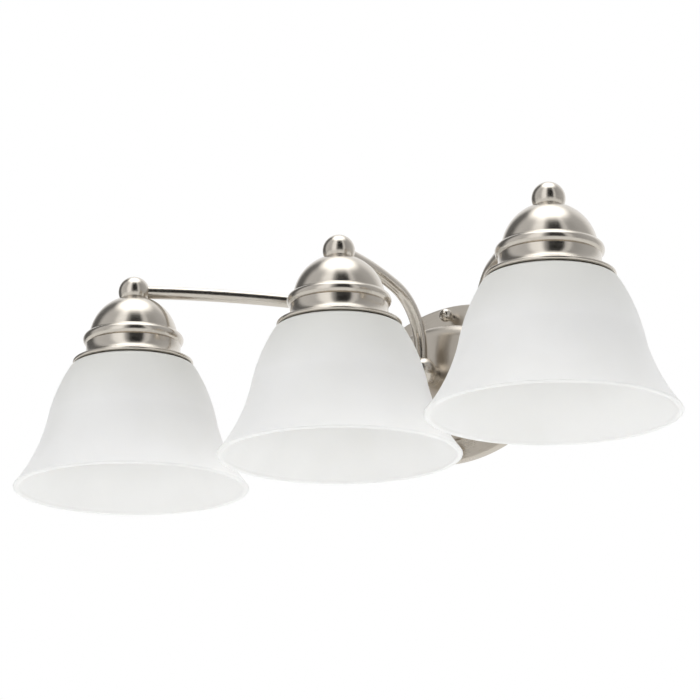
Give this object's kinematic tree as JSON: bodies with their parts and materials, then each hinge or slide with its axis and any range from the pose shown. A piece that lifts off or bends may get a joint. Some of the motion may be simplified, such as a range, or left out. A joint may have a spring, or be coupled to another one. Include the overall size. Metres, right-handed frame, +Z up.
{
  "type": "vanity light bar",
  "caption": "Bath vanity wall fixture with an oval wall plate, curved tube arms, ball joints, domed metal cups and frosted bell glass shades that open downwards.",
  "frame": {"origin": "on the wall, at the middle of the wall plate and of the strap's two wall box slots", "axes": "+X along the row of lights to the right as seen from the room, +Y into the wall, +Z up"},
  "size_m": [0.5108, 0.2324, 0.1549],
  "materials": {
    "nickel": "brushed nickel plate on spun steel, clear lacquer",
    "nickel_plate": "brushed nickel plate on pressed steel",
    "zinc_steel": "zinc plated pressed steel",
    "brass_tube": "threaded brass tube",
    "brass_contact": "nickel washed brass",
    "white_glass": "frosted white glass, satin outside and in",
    "porcelain": "white glazed porcelain",
    "white_resin": "heat resisting white resin",
    "black_insulation": "black wire insulation",
    "white_insulation": "white wire insulation",
    "green_insulation": "green wire insulation",
    "green_screw": "green dyed zinc plate",
    "orange_plastic": "moulded plastic"
  },
  "bodies": {
    "fixture": {"back_plate": "nickel_plate", "box_strap": "zinc_steel", "canopy_strap": "zinc_steel", "strap_rivet": "zinc_steel", "ground_screw": "green_screw", "ground_wire": "green_insulation", "ball_seats": "nickel", "plate_nipples": "brass_tube", "plate_nuts": "zinc_steel", "wire_connectors": "orange_plastic", "plate_ball_left": "nickel", "plate_ball_middle": "nickel", "plate_ball_right": "nickel", "arm_left": "nickel", "arm_middle": "nickel", "arm_right": "nickel", "top_ball_left": "nickel", "top_ball_middle": "nickel", "top_ball_right": "nickel", "cup_left": "nickel", "cup_middle": "nickel", "cup_right": "nickel", "cup_nipple_left": "brass_tube", "cup_nipple_middle": "brass_tube", "cup_nipple_right": "brass_tube", "cup_nut_left": "zinc_steel", "cup_nut_middle": "zinc_steel", "cup_nut_right": "zinc_steel", "lampholder_left": "porcelain", "lampholder_middle": "porcelain", "lampholder_right": "porcelain", "screw_shell_left": "brass_contact", "screw_shell_middle": "brass_contact", "screw_shell_right": "brass_contact", "centre_contact_left": "brass_contact", "centre_contact_middle": "brass_contact", "centre_contact_right": "brass_contact", "shade_left": "white_glass", "shade_middle": "white_glass", "shade_right": "white_glass", "live_lead_left": "black_insulation", "live_lead_middle": "black_insulation", "live_lead_right": "black_insulation", "neutral_lead_left": "white_insulation", "neutral_lead_middle": "white_insulation", "neutral_lead_right": "white_insulation"},
    "ring_left": {"shade_ring_left": "white_resin"},
    "ring_middle": {"shade_ring_middle": "white_resin"},
    "ring_right": {"shade_ring_right": "white_resin"},
    "screw_top": {"canopy_screw_top": "nickel"},
    "screw_bottom": {"canopy_screw_bottom": "nickel"}
  },
  "joints": [
    {"name": "shade_ring_turn_left", "type": "hinge", "parent": "fixture", "child": "ring_left", "pos_m": [-0.173, -0.15, 0.00357], "axis": [0, 0, -1], "range_deg": [0, 1080]},
    {"name": "shade_ring_turn_middle", "type": "hinge", "parent": "fixture", "child": "ring_middle", "pos_m": [0, -0.1415, 0.00357], "axis": [0, 0, -1], "range_deg": [0, 1080]},
    {"name": "shade_ring_turn_right", "type": "hinge", "parent": "fixture", "child": "ring_right", "pos_m": [0.173, -0.15, 0.00357], "axis": [0, 0, -1], "range_deg": [0, 1080]},
    {"name": "canopy_screw_turn_top", "type": "hinge", "parent": "fixture", "child": "screw_top", "pos_m": [0, -0.01, 0.0485], "axis": [0, -1, 0], "range_deg": [0, 1080]},
    {"name": "canopy_screw_turn_bottom", "type": "hinge", "parent": "fixture", "child": "screw_bottom", "pos_m": [0, -0.01, -0.0485], "axis": [0, -1, 0], "range_deg": [0, 1080]}
  ]
}
